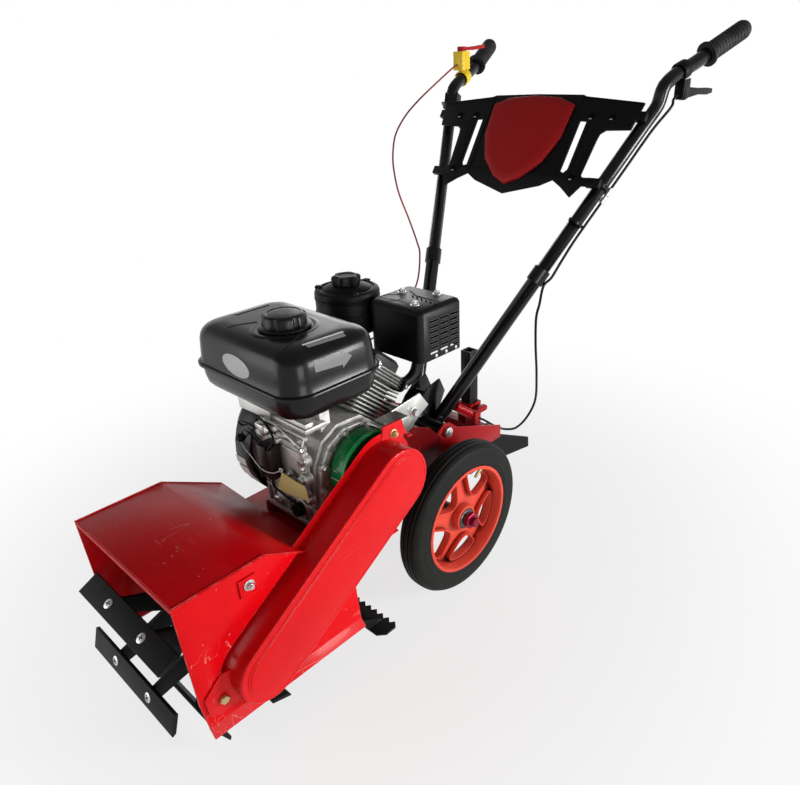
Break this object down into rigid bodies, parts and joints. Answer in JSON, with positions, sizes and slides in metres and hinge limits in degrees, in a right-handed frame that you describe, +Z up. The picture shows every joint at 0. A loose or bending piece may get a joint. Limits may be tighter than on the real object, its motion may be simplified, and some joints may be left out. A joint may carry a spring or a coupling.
{
  "type": "mini tiller",
  "caption": "Petrol mini tiller: red rotor hood with steel blades, chain case, small engine, spoked wheels and a tilting handlebar with a clutch lever.",
  "frame": {"origin": "centre of the machine's bounding box, at the floor under the wheels", "axes": "+X towards the chain case side, -Y towards the rotor, +Y towards the handlebar, +Z up"},
  "size_m": [0.6118, 1.2459, 0.9608],
  "materials": {
    "red_paint": "gloss red enamel on sheet steel",
    "black_paint": "satin black enamel",
    "black_steel": "worn black on forged and pressed steel",
    "bright_steel": "zinc-bright steel",
    "cast_alloy": "die-cast aluminium, as cast",
    "green_paint": "gloss green enamel",
    "black_plastic": "moulded black plastic",
    "yellow_plastic": "yellow moulded plastic",
    "red_plastic": "red moulded plastic",
    "rim_paint": "orange-red enamel on the cast rim",
    "tyre_rubber": "black rubber",
    "grip_rubber": "ribbed black rubber"
  },
  "bodies": {
    "machine": {"hood": "red_paint", "side_panel_r": "red_paint", "side_panel_l": "red_paint", "chain_case": "red_paint", "chain_cover": "red_paint", "drive_chain": "black_steel", "frame": "red_paint", "drag_bar": "black_steel", "crankcase": "cast_alloy", "side_cover": "cast_alloy", "cylinder": "cast_alloy", "rocker_cover": "cast_alloy", "blower_housing": "black_plastic", "recoil_starter": "black_plastic", "starter_rope": "black_plastic", "tank": "black_paint", "carburettor": "cast_alloy", "air_cleaner": "black_plastic", "air_cleaner_lid": "black_plastic", "muffler_guard": "black_steel", "muffler": "black_steel", "switch_box": "black_plastic", "mount_bracket": "bright_steel", "axle": "bright_steel", "pivot_bolt": "bright_steel", "clutch_cable": "black_plastic", "throttle_cord": "red_plastic"},
    "wheel_r": {"tyre_r": "tyre_rubber", "rim_r": "rim_paint"},
    "wheel_l": {"tyre_l": "tyre_rubber", "rim_l": "rim_paint"},
    "rotor": {"rotor_shaft": "black_steel", "rotor_sprocket": "black_steel", "blade_1": "black_steel", "blade_2": "black_steel", "blade_3": "black_steel", "blade_4": "black_steel", "blade_5": "black_steel", "blade_6": "black_steel", "blade_7": "black_steel", "blade_8": "black_steel"},
    "crank": {"crankshaft": "bright_steel", "flywheel": "cast_alloy", "clutch_drum": "green_paint"},
    "recoil": {"recoil_grip": "black_plastic"},
    "cap": {"fuel_cap": "black_plastic"},
    "cleaner_knob": {"lid_knob": "black_plastic"},
    "stake": {"ridger": "black_steel"},
    "clamp_bolt": {"depth_bolt": "red_paint"},
    "handlebar": {"handle_yoke": "black_paint", "handle_r": "black_paint", "handle_l": "black_paint", "grip_r": "grip_rubber", "grip_l": "grip_rubber", "console": "black_plastic", "badge": "red_plastic", "lever_bracket": "black_plastic", "throttle_body": "yellow_plastic"},
    "clutch": {"clutch_lever": "black_plastic"},
    "throttle": {"throttle_lever": "red_plastic"}
  },
  "joints": [
    {"name": "wheel_r_spin", "type": "hinge", "parent": "machine", "child": "wheel_r", "pos_m": [0.1435, -0.02394, 0.15], "axis": [1, 0, 0], "continuous": true},
    {"name": "wheel_l_spin", "type": "hinge", "parent": "machine", "child": "wheel_l", "pos_m": [-0.1435, -0.02394, 0.15], "axis": [1, 0, 0], "continuous": true},
    {"name": "rotor_spin", "type": "hinge", "parent": "machine", "child": "rotor", "pos_m": [0, -0.47894, 0.148], "axis": [1, 0, 0], "continuous": true},
    {"name": "crank_spin", "type": "hinge", "parent": "machine", "child": "crank", "pos_m": [0, -0.20194, 0.325], "axis": [1, 0, 0], "continuous": true},
    {"name": "cap_turn", "type": "hinge", "parent": "machine", "child": "cap", "pos_m": [0.016, -0.27094, 0.57], "axis": [0, 0, 1], "range_deg": [0, 90]},
    {"name": "cleaner_knob_turn", "type": "hinge", "parent": "machine", "child": "cleaner_knob", "pos_m": [-0.101, -0.04694, 0.5613], "axis": [0, 0, 1], "continuous": true},
    {"name": "recoil_pull", "type": "slide", "parent": "machine", "child": "recoil", "axis": [0, 0, 1], "range_m": [0, 0.35], "stiffness_N_per_m": 30, "deforming": ["starter_rope"]},
    {"name": "stake_slide", "type": "slide", "parent": "machine", "child": "stake", "axis": [0, 0, 1], "range_m": [-0.06, 0]},
    {"name": "clamp_bolt_turn", "type": "hinge", "parent": "machine", "child": "clamp_bolt", "pos_m": [0.03, 0.18106, 0.258], "axis": [1, 0, 0], "continuous": true},
    {"name": "handle_tilt", "type": "hinge", "parent": "machine", "child": "handlebar", "pos_m": [0, 0.01206, 0.294], "axis": [1, 0, 0], "range_deg": [-10, 10], "deforming": ["clutch_cable", "throttle_cord"]},
    {"name": "clutch_squeeze", "type": "hinge", "parent": "handlebar", "child": "clutch", "pos_m": [0.2523, 0.47606, 0.846], "axis": [1, 0, 0], "range_deg": [0, 20], "stiffness_Nm_per_rad": 0.8, "springref_deg": -5.73},
    {"name": "throttle_turn", "type": "hinge", "parent": "handlebar", "child": "throttle", "pos_m": [-0.2563, 0.47106, 0.9343], "axis": [0, 0, 1], "range_deg": [-20, 20]}
  ],
  "couplings": [
    {"joint": "crank_spin", "follows": "rotor_spin", "ratio": 2.5}
  ]
}
